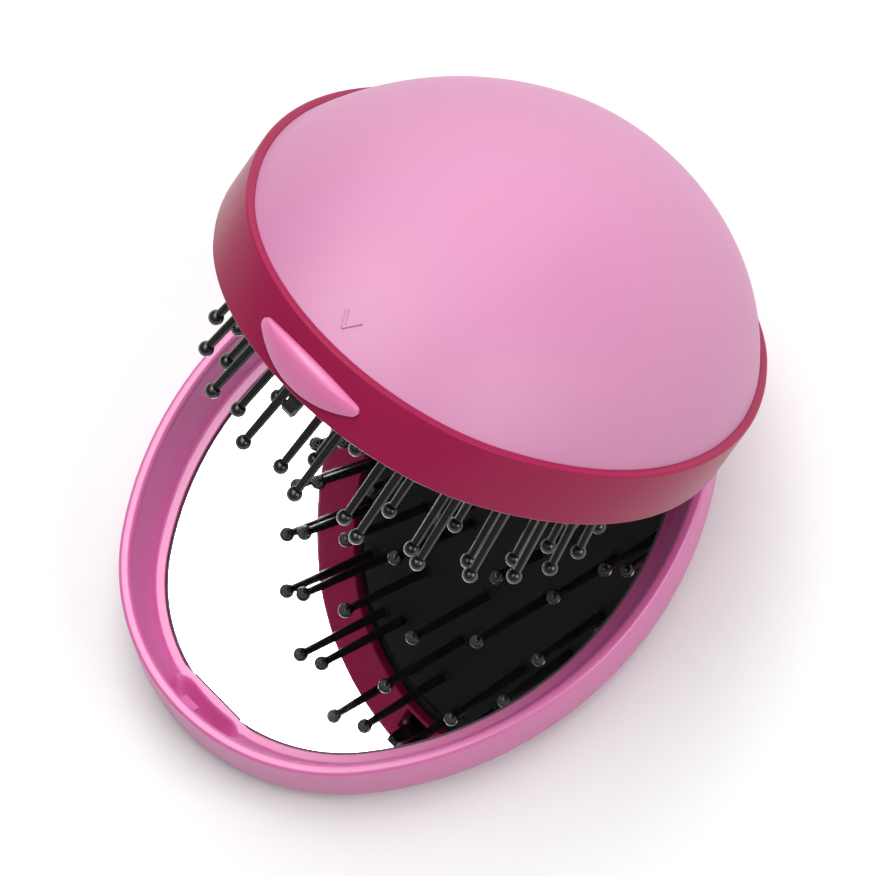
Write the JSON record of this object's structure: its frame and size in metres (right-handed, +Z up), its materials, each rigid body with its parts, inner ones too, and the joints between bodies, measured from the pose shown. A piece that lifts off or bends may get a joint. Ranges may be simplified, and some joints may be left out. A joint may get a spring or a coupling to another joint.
{
  "type": "folding hairbrush with mirror",
  "caption": "Palm-size folding hairbrush: domed brush half with a sinking pin cushion, hinged to an oval lid with a mirror and held shut by a push-button latch.",
  "frame": {"origin": "middle of the lid's flat underside", "axes": "+Z up out of the lid towards the mirror's open side, +X towards the hinge, Y along the hinge axis"},
  "size_m": [0.0905, 0.068, 0.0857],
  "materials": {
    "lid_tray": "gloss",
    "mirror_glass": "silvered glass",
    "mirror_tape": "white foam tape",
    "hinge_pin": "drawn",
    "rim_band": "gloss",
    "dome_cover": "gloss",
    "cushion_collar": "satin",
    "clamp_ring": "matte",
    "clamp_screws": "zinc",
    "pin_cushion": "satin",
    "cushion_plate": "matte",
    "pins_outer_row": "satin",
    "pins_second_row": "satin",
    "pins_third_row": "satin",
    "pins_centre": "satin",
    "release_button": "gloss",
    "latch_hook": "satin",
    "latch_spring": "spring wire"
  },
  "bodies": {
    "lid": {"lid_tray": "lid_tray", "mirror_glass": "mirror_glass", "mirror_tape": "mirror_tape"},
    "hinge_pin": {"hinge_pin": "hinge_pin"},
    "brush": {"rim_band": "rim_band", "dome_cover": "dome_cover", "cushion_collar": "cushion_collar", "clamp_ring": "clamp_ring", "clamp_screws": "clamp_screws"},
    "pin_pad": {"pin_cushion": "pin_cushion", "cushion_plate": "cushion_plate", "pins_outer_row": "pins_outer_row", "pins_second_row": "pins_second_row", "pins_third_row": "pins_third_row", "pins_centre": "pins_centre"},
    "latch": {"release_button": "release_button", "latch_hook": "latch_hook", "latch_spring": "latch_spring"}
  },
  "joints": [
    {"name": "brush_close", "type": "hinge", "parent": "lid", "child": "hinge_pin", "pos_m": [0.0454, 0, 0.0149], "axis": [0, 1, 0], "range_deg": [-50, 0]},
    {"name": "brush_open", "type": "hinge", "parent": "hinge_pin", "child": "brush", "pos_m": [0.0454, 0, 0.0149], "axis": [0, 1, 0], "range_deg": [0, 130]},
    {"name": "pad_sink", "type": "slide", "parent": "brush", "child": "pin_pad", "axis": [0.766, 0, 0.6428], "range_m": [0, 0.01165]},
    {"name": "button_press", "type": "slide", "parent": "brush", "child": "latch", "axis": [0.6428, 0, -0.766], "range_m": [0, 0.0012], "stiffness_N_per_m": 600, "springref_m": -0.001, "deforming": ["latch_spring"]}
  ],
  "couplings": [
    {"joint": "pad_sink", "follows": "brush_close", "m_per_rad": -0.013293}
  ]
}
